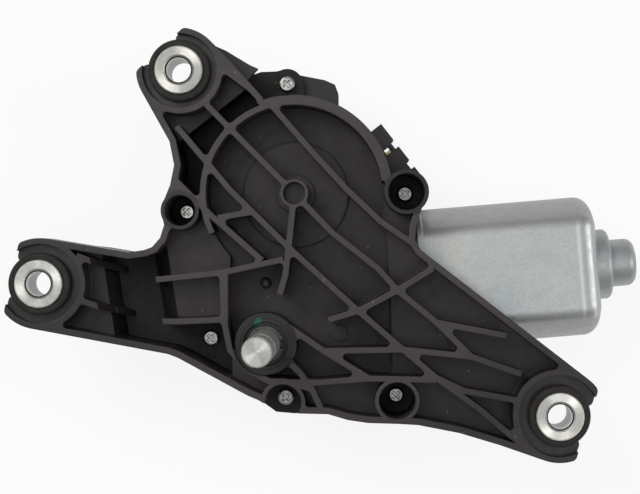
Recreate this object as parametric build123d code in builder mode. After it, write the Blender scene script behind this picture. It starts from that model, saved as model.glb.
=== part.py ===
from build123d import *
import os
from math import acos, atan2, cos, degrees, floor, pi, radians, sin, tan

os.makedirs("parts", exist_ok=True)

# Rear-window wiper gear motor. Millimetres. The origin is where the output shaft's axis meets the
# plane of the three sleeve faces, +Z runs out along the shaft and +X towards the motor.

# Mounting arms: a forked pad at the end of each arm holds a rubber grommet and a metal sleeve
mount_axes = {"top": (-29.1, 93.0), "left": (-76.5, 20.65), "right": (100.0, -24.3)}
pad_radii = {"top": 14.6, "left": 15.5, "right": 15.9}
tip_angles = {"top": 132.7, "left": 167.9, "right": -17.6}
# The two edges of each arm, from the case outwards; the last stretch of each touches the pad
arm_edges = {
    "top": ([(-1.0, 84.2), (-13.2, 97.8)], [(-34.9, 47.4), (-32.2, 54.1), (-30.8, 60.9), (-32.4, 69.0)]),
    "left": ([(-41.0, 32.1), (-46.4, 31.3)], [(-32.9, -3.2)]),
    "right": ([(52.0, -27.3), (66.0, -30.0), (80.0, -34.2)], [(52.9, 32.1)]),
}
arm_hearts = {"top": (9.9, 51.4), "left": (-15.0, 10.0), "right": (40.0, 0.0)}
pad_reach = 9.8
fork_mouth = 11.5
pad_rim = 2.0
horn_radius = 2.2
fork_plate = 4.0
pad_recess = 3.0

sleeve_bore = 8.4
sleeve_tube = 11.4
sleeve_flange = 16.4
sleeve_flange_thickness = 1.6
sleeve_length = 16.0
sleeve_chamfer = 0.8
grommet_flange = 21.0
grommet_neck = 15.0
grommet_inset = 1.0
grommet_round = 1.0
grommet_clearance = 0.1

# Front bracket: levels are measured down from the sleeve faces
rib_drop = 2.0
arm_pocket = 11.0
case_pocket = 14.0
floor_wall = 2.5
rib_width = 2.0
edge_wall = 2.2
pocket_corner = 1.2
smallest_pocket = 12.0
ear_drop = 24.0
ear_thickness = 3.2
ear_radius = 5.6
well_radii = {"top": 6.3, "right": 6.3, "left": 5.2, "bottom": 6.3, "well": 6.3}
well_wall = 1.3
well_floor_lap = 0.7
drum_radius = 33.4
drum_rim_radius = 31.0
drum_step_radius = 18.3
drum_step = 0.8
hub_radius = 4.8
hub_bore = 3.8
hub_bore_depth = 8.0
hub_foot_radius = 6.6
hub_foot = 1.0
boss_radius = 10.6
boss_drop = 5.0
bump_axis = (-0.6, 20.6)
bump_radius = 1.95
ejector_axis = (24.9, 3.1)
ejector_radius = 3.0
ejector_rise = 0.3

# Gear case behind the bracket
wheel_axis = (9.9, 51.4)
case_wall = 2.4
gasket_thickness = 0.8
case_depth = 17.5
case_floor = 2.0
foot_width = 2.4
bearing_seat = 9.0
seat_wall = 1.0
screw_axes = {
    "top": (6.4, 90.7),
    "right": (48.1, 51.9),
    "left": (-28.9, 45.5),
    "lower_left": (-20.4, 1.0),
    "bottom": (6.05, -19.8),
    "well": (44.9, -19.1),
}
well_screws = ("left", "right", "well")
screw_head = 5.6
screw_head_height = 2.2
screw_shank = 3.0
screw_length = 12.0
screw_clearance = 0.1
recess_width = 0.9
recess_span = 3.2
recess_depth = 1.2

# Worm drive
motor_tilt = 4.8
tooth_module = 1.0
pressure_angle = 20.0
tooth_root = 1.25
flank_step = 0.4
wheel_teeth = 57
wheel_face = 10.0
worm_pitch_radius = 5.0
worm_length = 26.0
worm_shoulder = 1.5
worm_head_room = 2.0
mesh_backlash = 0.16
axis_drop = 9.0
axle_radius = 4.0
running_clearance = 0.05
wheel_hub_radius = 12.5
wheel_web = 4.0
wheel_rim_wall = 4.0
wheel_tip = 0.8
contact_inside = 16.0
contact_outside = 20.0
contact_thickness = 0.4
finger_width = 2.0
finger_spread = 4.0
finger_bend = 1.0

# Crank, toothed link and output pinion
crank_radius = 7.0
crank_angle = -90.0
crank_pin_radius = 2.5
pinion_teeth = 16
sector_teeth = 24
sector_middle = 202.0
sector_half_span = 35.0
gear_thinning = 0.1
link_thickness = 4.0
link_gap = 0.3
guide_thickness = 2.0
link_pin_radius = 2.5
pin_head_radius = 3.6
pin_head = 0.8
link_width = 9.0
eye_wall = 2.5
guide_head_room = 0.7

# Output shaft
shaft_radius = 5.0
shaft_tail = 52.0
knurl_start = 20.0
knurl_end = 35.2
knurl_depth = 0.3
knurl_teeth = 40
shaft_tip = 36.0
end_chamfer = 0.4
tail_chamfer = 0.9
bush_wall = 2.0
lower_bush_rise = 2.0
seal_radius = 8.6
seal_thickness = 2.6
seal_rim = 1.0
seal_lip = 0.8
seal_lip_gap = 0.3
seal_dish = 1.1
ring_groove = 0.6
ring_rise = 1.4
ring_slot = 1.0
ring_thickness = 0.8
ring_lip = 1.2
ring_mouth = 3.0

# Motor
can_radius = 25.0
can_half_height = 19.0
can_wall = 1.8
can_length = 63.2
can_start = 40.9
can_corner = 5.5
flat_round = 6.0
lip_rise = 0.7
lip_length = 2.0
boss_step_radius = 12.6
boss_step_length = 5.8
nose_radius = 8.5
nose_length = 9.3
nose_round = 3.2
spigot_length = 6.0
spigot_clearance = 0.15
spigot_wall = 3.6
flange_thickness = 6.4
magnet_thickness = 6.9
air_gap = 0.7
magnet_gap = 0.4
magnet_overhang = 11.0
core_slots = 10
slot_width = 2.2
slot_depth = 6.5
commutator_radius = 8.0
commutator_length = 11.0
commutator_gap = 0.5
winding_length = 6.0
winding_inset = 1.6
winding_hub = 2.0
slot_play = 0.1
armature_gap = 1.0
end_gap = 1.4
motor_shaft_radius = 3.5
motor_bush_wall = 3.0
thrust_plug_length = 2.0
brush_width = 5.0
brush_height = 6.0
brush_length = 7.0
brush_gap = 0.3
brush_play = 0.1
holder_wall = 1.2
holder_gap = 1.7
spring_wall = 0.6
brush_plate_thickness = 2.4

# Connector on the upper right of the case
connector_corner = (39.9, 78.7)
connector_angle = -52.0
connector_length = 26.0
connector_depth = 20.0
connector_wall = 1.6
connector_socket = 12.0
connector_clearance = 0.2
rim_notch = 3.0
blade_width = 2.8
blade_thickness = 0.8
blade_length = 16.0
blade_count = 4
blade_pitch = 4.8
latch_window = 2.4
latch_window_place = (-3.8, -4.1)
notch_places = (-4.0, 5.5)
blade_recess = 3.0
blade_drop = 2.0

# Levels worked out from the values above
rib_top = -rib_drop
pad_floor = rib_top - pad_recess
pad_underside = pad_floor - fork_plate
arm_floor = rib_top - arm_pocket
arm_underside = arm_floor - floor_wall
case_top = rib_top - case_pocket
chamber_top = case_top - floor_wall
ear_seat = -ear_drop
bracket_base = ear_seat - ear_thickness
split = bracket_base - gasket_thickness
axis_level = split - axis_drop
wheel_top = axis_level + wheel_face / 2
wheel_bottom = axis_level - wheel_face / 2
case_bottom = split - case_depth
chamber_floor = case_bottom + case_floor
can_back = axis_level - can_half_height
worm_tip_radius = worm_pitch_radius + tooth_module
worm_root_radius = worm_pitch_radius - tooth_root * tooth_module
link_bottom = axis_level + worm_tip_radius + worm_head_room
link_top = link_bottom + link_thickness
guide_bottom = link_top + link_gap
guide_top = guide_bottom + guide_thickness
wheel_pitch_radius = wheel_teeth * tooth_module / 2
pinion_radius = pinion_teeth * tooth_module / 2
sector_radius = sector_teeth * tooth_module / 2
guide_length = pinion_radius + sector_radius
worm_distance = wheel_pitch_radius + worm_pitch_radius
magnet_outside = can_radius - can_wall
magnet_half_height = (can_half_height - flat_round) * magnet_outside / (can_radius - flat_round) - magnet_gap
armature_radius = magnet_outside - magnet_thickness - air_gap
core_length = can_length - can_wall - spigot_length - commutator_length
core_length -= 2 * winding_length + 2 * armature_gap + end_gap
magnet_length = core_length + magnet_overhang

# The motor axis: u runs along it towards the can, n across it towards the worm wheel
u = Vector(cos(radians(motor_tilt)), sin(radians(motor_tilt)), 0)
n = Vector(-u.Y, u.X, 0)
worm_foot = Vector(*wheel_axis, axis_level) - n * worm_distance
motor_axis = Axis(worm_foot, u)


def motor_plane(distance):
    # Plane across the motor axis, at a distance from the point nearest the wheel's axis
    return Plane(origin=worm_foot + u * distance, x_dir=n, z_dir=u)


def tangent_point(corner, axis, radius, side):
    # Where a line from an arm's outermost corner touches the pad circle round its sleeve axis
    away = Vector(*corner) - Vector(*axis)
    angle = atan2(away.Y, away.X) + side * acos(radius / away.length)
    return (axis[0] + radius * cos(angle), axis[1] + radius * sin(angle))


def polar(radius, angle):
    return (radius * cos(radians(angle)), radius * sin(radians(angle)))


def export(builder, label):
    builder.part.label = label
    export_step(builder.part, "parts/" + label + ".step")


# Outline of the gear case: the drum round the worm wheel and the box round the worm and the shaft
case_corners = [(-15, 45), (-15, -1), (-7, -11), (2, -14.2), (46, -14.2), (45.2, 14), (43.8, 40), (35, 45)]
case_corner_radius = 5.0
with BuildSketch() as case_shape:
    with Locations(wheel_axis):
        Circle(drum_radius)
    Polygon(*case_corners, align=None)
    fillet(case_shape.vertices().sort_by(Axis.Y)[:5], case_corner_radius)
case_inside = offset(case_shape.sketch, amount=-case_wall, kind=Kind.ARC)

# Screw ears stand outside the case and run into its wall
ear_anchors = {
    "top": wheel_axis,
    "right": wheel_axis,
    "left": wheel_axis,
    "lower_left": (0, 1),
    "bottom": (6, 0),
    "well": (34, -8),
}
ear_run = 9.0
with BuildSketch() as ears:
    # Each ear is a disc round its screw with a neck that runs into the case wall
    for name, axis in screw_axes.items():
        inwards = (Vector(*ear_anchors[name]) - Vector(*axis)).normalized()
        with Locations(axis):
            Circle(ear_radius)
        with BuildLine():
            Line(axis, Vector(*axis) + inwards * ear_run)
        trace(line_width=2 * ear_radius)
    add(case_inside, mode=Mode.SUBTRACT)

# Low plates: a web along the top arm's edge, and seat plates round the top and the bottom screw
web_corners = [
    (-19.5, 103.5), (-14.4, 101.3), (-6.1, 96.3), (-3.2, 95.0), (-6.8, 91.0), (-2.5, 82.5), (-14.5, 96),
]
plate_corners = [
    (-9, 90.5), (-7.5, 93.6), (-2.9, 95.2), (2.5, 95.4), (6.4, 96.3), (10.6, 94.1), (10.8, 82), (-5, 80),
]
bottom_plate_corners = [(-4, -20.5), (2.5, -25.2), (9, -25.8), (14, -25.5), (14, -12), (-4, -10)]

# Outline of the bracket: the case, the arms and their pads
core_corners = [
    wheel_axis, (-34.9, 47.4), (-34.9, 44), (-34.2, 40.6), (-35.6, 36.2), (-38.3, 33.1), (-41, 32.1),
    (-32.9, -3.2), (-29.5, -4.5), (-5.7, -17.4), (-2.3, -18.8), (4.4, -22.8), (7.8, -23.3), (21.4, -23.6),
    (28.2, -25.6), (35, -26.6), (45.1, -26.9), (52, -27.3), (52.9, 32.1), (50.9, 35.5), (51.2, 40),
    (53.4, 46.7), (48.1, 51.9),
]
with BuildSketch() as bracket_shape:
    Polygon(*core_corners, align=None)
    with Locations(wheel_axis):
        Circle(drum_radius)
    with Locations(screw_axes["right"]):
        Circle(well_radii["right"] + well_wall)
    for name, axis in mount_axes.items():
        radius = pad_radii[name]
        first, last = arm_edges[name]
        touch_first = tangent_point(first[-1], axis, radius, 1)
        touch_last = tangent_point(last[-1], axis, radius, -1)
        Polygon(*first, touch_first, touch_last, *reversed(last), arm_hearts[name], align=None)
        with Locations(axis):
            Circle(radius)

# Rib lattice, drawn as centre lines on the rib-top plane
rib_lines = [
    [(-16, 95), (1.9, 81.6), (15.3, 66.2), (27.7, 52.75), (39.1, 41.9), (52, 33)],
    [(-20, 81.5), wheel_axis],
    [wheel_axis, (22.9, 37.9), (38.4, 25.8), (45, 18.4), (57.5, 8.1), (70.1, -4.1), (87, -10)],
    [(-30, 74), (-11.8, 52.4), (8.3, 32.7), (31.7, 11.4), (46.9, -1.7), (57.9, -11.1), (72.9, -22), (86, -33)],
    [(-32, 57.3), (-18.3, 43.8), (-1, 28.6)],
    [(-16, 43), (-4.5, 45)],
    [wheel_axis, (8.3, 35.8), (6.9, 23.7), (5, 17)],
    [(-64, 30.2), (-46.4, 23.6), (-38.3, 21.9), (-14.5, 24.4), (6.2, 28.9)],
    [(-14.5, 25), (-14, 8.5), (-11.9, -1.8), (-5.7, -8.7), (1.5, -12.5), (6.7, -12.5), (15.5, -15)],
    [(-64, 15.4), (-42.3, 8), (-29.5, 7.8), (-13, 8.5)],
    [(31.7, 11.4), (21.5, 8.4)],
    [(31.7, 11.4), (45, 18.4), (57.1, 26)],
    [(20, -2.2), (46.9, -1.7), (70.1, -4.1)],
    [(8, 6), (20, -2.2), (35.3, -11.5)],
    [(5, -3), (11.6, -9.3), (15.8, -15), (20, -24)],
    [(14, -13.2), (35.3, -11.5), (58, -12)],
    [(58.5, 7.5), (82, 3)],
    [(57.9, -11.1), (67.5, -15.7), (86, -19)],
]
with BuildSketch() as cells:
    add(offset(bracket_shape.sketch, amount=-edge_wall, kind=Kind.ARC))
    for name, axis in mount_axes.items():
        with Locations(axis):
            Circle(pad_radii[name], mode=Mode.SUBTRACT)
    Circle(boss_radius, mode=Mode.SUBTRACT)
    with Locations(wheel_axis):
        Circle(hub_radius, mode=Mode.SUBTRACT)
    for name, radius in well_radii.items():
        with Locations(screw_axes[name]):
            Circle(radius + well_wall, mode=Mode.SUBTRACT)
    for line in rib_lines:
        with BuildLine():
            Polyline(*line)
        trace(line_width=rib_width, mode=Mode.SUBTRACT)
    with BuildLine():
        CenterArc(wheel_axis, drum_rim_radius, 8, 198)
    trace(line_width=rib_width, mode=Mode.SUBTRACT)


def rounded(cell):
    # The pocket with a moulded radius in each corner whose sides are long enough to take it
    corners = []
    for corner in cell.vertices():
        sides = [side for side in cell.edges() if side.distance_to(corner) < 1e-4]
        if len(sides) != 2:
            continue
        away = [side.tangent_at(corner.center()) for side in sides]
        for i, side in enumerate(sides):
            if (side.position_at(1) - corner.center()).length < 1e-4:
                away[i] = -away[i]
        half_angle = away[0].get_angle(away[1]) / 2
        if 10 < half_angle < 80:
            needed = pocket_corner / tan(radians(half_angle))
            if min(side.length for side in sides) > 2.2 * needed:
                corners.append(corner)
    return cell.fillet_2d(pocket_corner, corners) if corners else cell


pockets = Sketch() + [rounded(cell) for cell in cells.faces() if cell.area > smallest_pocket]
case_pockets = pockets & case_inside
arm_pockets = Sketch() + [cell for cell in (pockets - case_inside).faces() if cell.area > smallest_pocket]

with BuildSketch() as fork_cuts:
    # Each pad ends in a straight tip with a snap-in mouth for the grommet's neck
    for name, axis in mount_axes.items():
        with Locations(Location((*axis, 0), (0, 0, tip_angles[name]))):
            Circle(grommet_neck / 2 + grommet_clearance)
            with Locations((pad_reach / 2, 0)):
                Rectangle(pad_reach, fork_mouth)
            with Locations((pad_reach + pad_radii[name] / 2, 0)):
                Rectangle(pad_radii[name], 2 * pad_radii[name])
with BuildSketch() as bracket_outline:
    add(bracket_shape.sketch)
    add(fork_cuts.sketch, mode=Mode.SUBTRACT)
    horns = [
        corner for corner in bracket_outline.vertices()
        for name, axis in mount_axes.items()
        if abs((corner.center() - Vector(*axis)).dot(Vector(*polar(1, tip_angles[name]))) - pad_reach) < 0.01
        and (corner.center() - Vector(*axis)).length < pad_radii[name] + 0.01
    ]
    fillet(horns, horn_radius)

# Deep root of the left arm: its floor drops to the level of the lower left screw's seat, the arm's two
# ribs dip into it, and the pocket below the lower rib stays deep as far as the case
root_middle = (-45.0, 15.0)
root_slant = 9.1
root_reach = 40.0
root_plane = Plane(
    origin=(*root_middle, 0), x_dir=Vector(*polar(1, root_slant)), z_dir=Vector(*polar(1, root_slant - 90)),
)
below_lower_rib = [(-64, 16.4), (-42.3, 9.1), (-29.5, 8.9), (-12, 9.6), (-12, -30), (-64, -30)]
root_left = [(-11.8, arm_underside), (-8.6, bracket_base)]
hollow_left = [(-9.7, arm_floor), (-6.5, ear_seat)]
root_right = [(8.2, bracket_base), (14.5, arm_underside)]
hollow_right = [(6.6, ear_seat), (13.0, arm_floor)]
rib_dip = [(-12.0, rib_top), (-3.0, ear_seat), (7.0, ear_seat), (9.0, rib_top)]
lower_shape = bracket_shape.sketch & make_face(Polyline(*below_lower_rib, close=True))
lower_pocket = arm_pockets & lower_shape
inside_edges = offset(bracket_shape.sketch, amount=-edge_wall, kind=Kind.ARC)


def across_arm(profile, outline):
    # A profile along the left arm, carried across it inside an outline
    with BuildPart() as piece:
        with BuildSketch(root_plane):
            Polygon(*profile, align=None)
        extrude(amount=root_reach, both=True)
        with BuildSketch(Plane.XY.offset(bracket_base)):
            add(outline)
        extrude(amount=rib_top - bracket_base, mode=Mode.INTERSECT)
    return piece.part


root_body = across_arm(root_left + root_right, bracket_shape.sketch)
lower_body = across_arm(root_left + [(root_reach, bracket_base), (root_reach, arm_underside)], lower_shape)
root_hollow = across_arm(hollow_left + hollow_right, arm_pockets)
lower_hollow = across_arm(hollow_left + [(root_reach, ear_seat), (root_reach, arm_floor)], lower_pocket)
dipped_ribs = across_arm(rib_dip, inside_edges)

# Deep root of the top arm, with a ledge on the side of the pad
top_root_corners = [(-2.6, 94.7), (-37.2, 67.6), (-36, 44), wheel_axis]
top_hollow_corners = [(-1.0, 92.8), (-35.6, 65.7), (-36, 44), wheel_axis]
top_root = bracket_shape.sketch & make_face(Polyline(*top_root_corners, close=True))
top_hollow = arm_pockets & make_face(Polyline(*top_hollow_corners, close=True))

boss_bottom = guide_top + guide_head_room
seal_bottom = -boss_drop - seal_thickness
bush_radius = shaft_radius + bush_wall

with BuildPart() as front_bracket:
    with BuildSketch(Plane.XY.offset(arm_underside)):
        add(bracket_outline.sketch)
    extrude(amount=rib_top - arm_underside)
    add(root_body)
    add(lower_body)
    with BuildSketch(Plane.XY.offset(bracket_base)):
        add(top_root)
    extrude(amount=arm_underside - bracket_base)
    with BuildSketch(Plane.XY.offset(bracket_base)):
        add(case_shape.sketch)
    extrude(amount=rib_top - bracket_base)
    with BuildSketch(Plane.XY.offset(rib_top)):
        for name, radius in well_radii.items():
            with Locations(screw_axes[name]):
                Circle(radius)
    extrude(amount=ear_seat - rib_top, mode=Mode.SUBTRACT)
    with BuildSketch(Plane.XY.offset(bracket_base)):
        add(ears.sketch)
        Polygon(*plate_corners, align=None)
        Polygon(*bottom_plate_corners, align=None)
    extrude(amount=ear_thickness)
    with BuildSketch(Plane.XY.offset(arm_underside)):
        Polygon(*web_corners, align=None)
    extrude(amount=floor_wall)
    # Three of the screws sit at the bottom of closed wells
    with BuildSketch(Plane.XY.offset(bracket_base)):
        for name in well_screws:
            with Locations(screw_axes[name]):
                Circle(well_radii[name] + well_floor_lap)
    extrude(amount=ear_thickness)
    with BuildSketch(Plane.XY.offset(ear_seat)):
        for name in well_screws:
            with Locations(screw_axes[name]):
                Circle(well_radii[name] + well_wall)
                Circle(well_radii[name], mode=Mode.SUBTRACT)
    extrude(amount=rib_top - ear_seat)
    with Locations(*[(*axis, ear_seat) for axis in screw_axes.values()]):
        Hole(screw_shank / 2 + screw_clearance, depth=ear_thickness)
    with BuildSketch(Plane.XY.offset(rib_top)):
        add(case_pockets)
    extrude(amount=-case_pocket, mode=Mode.SUBTRACT)
    with BuildSketch(Plane.XY.offset(rib_top)):
        add(arm_pockets)
    extrude(amount=-arm_pocket, mode=Mode.SUBTRACT)
    with BuildSketch(Plane.XY.offset(rib_top)):
        add(top_hollow)
    extrude(amount=ear_seat - rib_top, mode=Mode.SUBTRACT)
    add(root_hollow, mode=Mode.SUBTRACT)
    add(lower_hollow, mode=Mode.SUBTRACT)
    add(dipped_ribs, mode=Mode.SUBTRACT)
    with BuildSketch(Plane.XY.offset(case_top)):
        with Locations(wheel_axis):
            Circle(drum_step_radius)
    extrude(amount=drum_step)
    with BuildSketch(Plane.XY.offset(case_top)):
        with Locations(wheel_axis):
            Circle(hub_foot_radius)
    extrude(amount=drum_step + hub_foot)
    with BuildSketch(Plane.XY.offset(case_top)):
        with Locations(ejector_axis):
            Circle(ejector_radius)
    extrude(amount=ejector_rise)
    with Locations((*bump_axis, case_top)):
        Sphere(bump_radius)
    with BuildSketch(Plane.XY.offset(bracket_base)):
        add(case_inside)
    extrude(amount=chamber_top - bracket_base, mode=Mode.SUBTRACT)
    # Round bosses: the shaft's boss through the plate and the blind hub over the worm wheel
    with BuildSketch(Plane.XY.offset(boss_bottom)):
        Circle(boss_radius)
    extrude(amount=-boss_drop - boss_bottom)
    with BuildSketch(Plane.XY.offset(rib_top)):
        Circle(boss_radius)
    extrude(amount=rib_drop - boss_drop, mode=Mode.SUBTRACT)
    with BuildSketch(Plane.XY.offset(-boss_drop)):
        Circle(seal_radius)
    extrude(amount=-seal_thickness, mode=Mode.SUBTRACT)
    with BuildSketch(Plane.XY.offset(seal_bottom)):
        Circle(bush_radius)
    extrude(amount=boss_bottom - seal_bottom, mode=Mode.SUBTRACT)
    with BuildSketch(Plane.XY.offset(rib_top)):
        with Locations(wheel_axis):
            Circle(hub_bore)
    extrude(amount=-hub_bore_depth, mode=Mode.SUBTRACT)
    # Pads: recessed on both faces round the grommet's flanges
    with BuildSketch(Plane.XY.offset(rib_top)):
        for name, axis in mount_axes.items():
            with Locations(axis):
                Circle(pad_radii[name] - pad_rim)
    extrude(amount=-pad_recess, mode=Mode.SUBTRACT)
    with BuildSketch(Plane.XY.offset(arm_underside)):
        for name, axis in mount_axes.items():
            with Locations(axis):
                Circle(pad_radii[name] - pad_rim)
    extrude(amount=pad_underside - arm_underside, mode=Mode.SUBTRACT)
export(front_bracket, "front_bracket")

with BuildPart() as cover_gasket:
    with BuildSketch(Plane.XY.offset(split)):
        add(case_shape.sketch)
        add(case_inside, mode=Mode.SUBTRACT)
    extrude(amount=gasket_thickness)
export(cover_gasket, "cover_gasket")

for name, axis in mount_axes.items():
    # Turned sleeve with a flat flange at the seat face
    with BuildPart() as sleeve:
        with BuildSketch(Plane(origin=(*axis, 0))):
            Circle(sleeve_flange / 2)
        extrude(amount=-sleeve_flange_thickness)
        with BuildSketch(Plane(origin=(*axis, 0))):
            Circle(sleeve_tube / 2)
        extrude(amount=-sleeve_length)
        with BuildSketch(Plane(origin=(*axis, 0))):
            Circle(sleeve_bore / 2)
        extrude(amount=-sleeve_length, mode=Mode.SUBTRACT)
        chamfer(sleeve.faces().sort_by(Axis.Z)[-1].edges(), sleeve_chamfer / 2)
    export(sleeve, "sleeve_" + name)

    # Rubber spool: two flanges and a neck that the fork grips
    with BuildPart() as grommet:
        with BuildSketch(Plane(origin=(*axis, 0), x_dir=(1, 0, 0), z_dir=(0, -1, 0))) as spool:
            with BuildLine():
                Polyline(
                    (sleeve_tube / 2 + grommet_clearance, -sleeve_flange_thickness - grommet_clearance),
                    (sleeve_flange / 2 + grommet_clearance, -sleeve_flange_thickness - grommet_clearance),
                    (sleeve_flange / 2 + grommet_clearance, -grommet_inset),
                    (grommet_flange / 2, -grommet_inset),
                    (grommet_flange / 2, pad_floor + grommet_clearance),
                    (grommet_neck / 2, pad_floor + grommet_clearance),
                    (grommet_neck / 2, pad_underside - grommet_clearance),
                    (grommet_flange / 2, pad_underside - grommet_clearance),
                    (grommet_flange / 2, grommet_inset - sleeve_length),
                    (sleeve_tube / 2 + grommet_clearance, grommet_inset - sleeve_length),
                    close=True,
                )
            make_face()
            fillet(spool.vertices().group_by(Axis.X)[-1], grommet_round)
        revolve(axis=Axis((*axis, 0), (0, 0, 1)))
    export(grommet, "grommet_" + name)

# Six thread-forming screws with a cross recess
with BuildPart() as cover_screws:
    with BuildSketch(Plane.XY.offset(ear_seat)):
        with Locations(*screw_axes.values()):
            Circle(screw_head / 2)
    extrude(amount=screw_head_height)
    fillet(cover_screws.faces().group_by(Axis.Z)[-1].edges(), screw_head_height / 3)
    with BuildSketch(Plane.XY.offset(ear_seat)):
        with Locations(*screw_axes.values()):
            Circle(screw_shank / 2)
    extrude(amount=-screw_length)
    with BuildSketch(Plane.XY.offset(ear_seat + screw_head_height)):
        with Locations(*screw_axes.values()):
            Rectangle(recess_span, recess_width, rotation=45)
            Rectangle(recess_width, recess_span, rotation=45)
    extrude(amount=-recess_depth, mode=Mode.SUBTRACT)
export(cover_screws, "cover_screws")

# Gear housing: open tray behind the bracket, with the motor's flange and spigot on its right
connector_plane = Plane(
    origin=Vector(*connector_corner, case_bottom) + Vector(*polar(connector_length / 2, connector_angle)),
    x_dir=Vector(*polar(1, connector_angle)),
    z_dir=(0, 0, 1),
)
motor_bush_radius = motor_shaft_radius + motor_bush_wall
lower_bush_top = axis_level + lower_bush_rise
seat_start = -25.0
seat_end = -17.0
seat_top = axis_level + motor_bush_radius + seat_wall
neck_start = 30.0
neck_radius = 8.8
lug_corners = [(6, 95.4), (19.5, 92.8), (23.2, 91.2), (24.4, 88), (24.4, 80), (6, 82)]
ear_depth = 10.0
rib_angles = [20, 65, 110, 155, 200]


def double_d(radius, half_height, corner):
    # Circle with two flats and rounded corners, across the motor axis
    with BuildSketch() as outline:
        Circle(radius)
        Rectangle(2 * radius, 2 * half_height, mode=Mode.INTERSECT)
        fillet(outline.vertices(), corner)
    return outline.sketch


def can_offset(inset):
    # The can's outline, moved inwards
    return double_d(can_radius - inset, can_half_height - inset, flat_round - inset)


can_outline = can_offset(0)
can_inside = can_offset(can_wall)
spigot_outside = can_offset(can_wall + spigot_clearance)
spigot_inside = can_offset(can_wall + spigot_wall)
lip_outline = double_d(can_radius + lip_rise, can_half_height, flat_round)

with BuildSketch() as back_ribs:
    add(case_shape.sketch)
    add(case_inside, mode=Mode.SUBTRACT)
    for angle in rib_angles:
        with BuildLine():
            Line(wheel_axis, Vector(*wheel_axis) + Vector(*polar(drum_radius - case_wall / 2, angle)))
        trace(line_width=foot_width)
    with BuildLine():
        Line(wheel_axis, (0, 0))
    trace(line_width=foot_width)
    with Locations(wheel_axis):
        Circle(axle_radius + case_wall)
    Circle(bush_radius + case_wall)
    with Locations(Location(connector_plane.origin, (0, 0, connector_angle))):
        with Locations((0, -connector_depth / 2)):
            Rectangle(
                connector_length + 2 * connector_clearance,
                connector_depth + 2 * connector_clearance,
                mode=Mode.SUBTRACT,
            )

with BuildPart() as gear_housing:
    with BuildSketch(Plane.XY.offset(case_bottom)):
        add(case_shape.sketch)
    extrude(amount=case_depth)
    with BuildSketch(Plane.XY.offset(split)):
        add(ears.sketch)
        Polygon(*lug_corners, align=None)
        add(case_inside, mode=Mode.SUBTRACT)
    extrude(amount=-ear_depth)
    with BuildSketch(motor_plane(neck_start)):
        Circle(neck_radius)
    extrude(amount=can_start - neck_start)
    with BuildSketch(motor_plane(can_start - flange_thickness)):
        add(can_outline)
    extrude(amount=flange_thickness)
    with BuildSketch(Plane.XY.offset(chamber_floor)):
        add(case_inside)
    extrude(amount=split - chamber_floor, mode=Mode.SUBTRACT)
    with BuildSketch(Plane.XY.offset(can_back)):
        add(back_ribs.sketch)
    extrude(amount=case_bottom - can_back)
    # Seats for the axle, the lower output bush and the armature's two bearings
    with BuildSketch(Plane.XY.offset(chamber_floor)):
        with Locations(wheel_axis):
            Circle(axle_radius + case_wall)
    extrude(amount=wheel_bottom - link_gap - chamber_floor)
    with BuildSketch(Plane.XY.offset(chamber_floor)):
        Circle(bush_radius + case_wall)
    extrude(amount=lower_bush_top - chamber_floor)
    with BuildSketch(motor_plane(seat_start)):
        with Locations((0, (seat_top + chamber_floor) / 2 - axis_level)):
            Rectangle(2 * bearing_seat, seat_top - chamber_floor)
    extrude(amount=seat_end - seat_start)
    with BuildSketch(motor_plane(can_start)):
        add(spigot_outside)
    extrude(amount=spigot_length)
    with BuildSketch(motor_plane(can_start + spigot_length)):
        add(spigot_inside)
    extrude(amount=-spigot_length, mode=Mode.SUBTRACT)
    with BuildSketch(motor_plane(seat_start)):
        Circle(motor_bush_radius)
    extrude(amount=can_start - seat_start, mode=Mode.SUBTRACT)
    with BuildSketch(Plane.XY.offset(can_back + foot_width)):
        Circle(bush_radius)
    extrude(amount=lower_bush_top - can_back, mode=Mode.SUBTRACT)
    with BuildSketch(Plane.XY.offset(can_back + foot_width)):
        with Locations(wheel_axis):
            Circle(axle_radius)
    extrude(amount=wheel_bottom - can_back, mode=Mode.SUBTRACT)
    with Locations(*[(*axis, split) for axis in screw_axes.values()]):
        Hole(screw_shank / 2 + screw_clearance, depth=ear_depth)
export(gear_housing, "gear_housing")

# Bushes and seal of the output shaft
with BuildPart() as output_bush:
    with BuildSketch(Plane.XY.offset(boss_bottom)):
        Circle(bush_radius)
        Circle(shaft_radius + running_clearance, mode=Mode.SUBTRACT)
    extrude(amount=seal_bottom - boss_bottom)
export(output_bush, "output_bush")

lower_bush_bottom = can_back + foot_width
with BuildPart() as lower_output_bush:
    with BuildSketch(Plane.XY.offset(lower_bush_bottom)):
        Circle(bush_radius)
        Circle(shaft_radius + running_clearance, mode=Mode.SUBTRACT)
    extrude(amount=lower_bush_top - lower_bush_bottom)
export(lower_output_bush, "lower_output_bush")

with BuildPart() as shaft_seal:
    with BuildSketch(Plane.XY.offset(seal_bottom)):
        Circle(seal_radius)
        Circle(shaft_radius + seal_lip_gap, mode=Mode.SUBTRACT)
    extrude(amount=seal_thickness)
    with BuildSketch(Plane.XY.offset(-boss_drop)):
        Circle(seal_radius - seal_rim)
        Circle(shaft_radius + seal_lip_gap + seal_lip, mode=Mode.SUBTRACT)
    extrude(amount=-seal_dish, mode=Mode.SUBTRACT)
export(shaft_seal, "shaft_seal")


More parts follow.
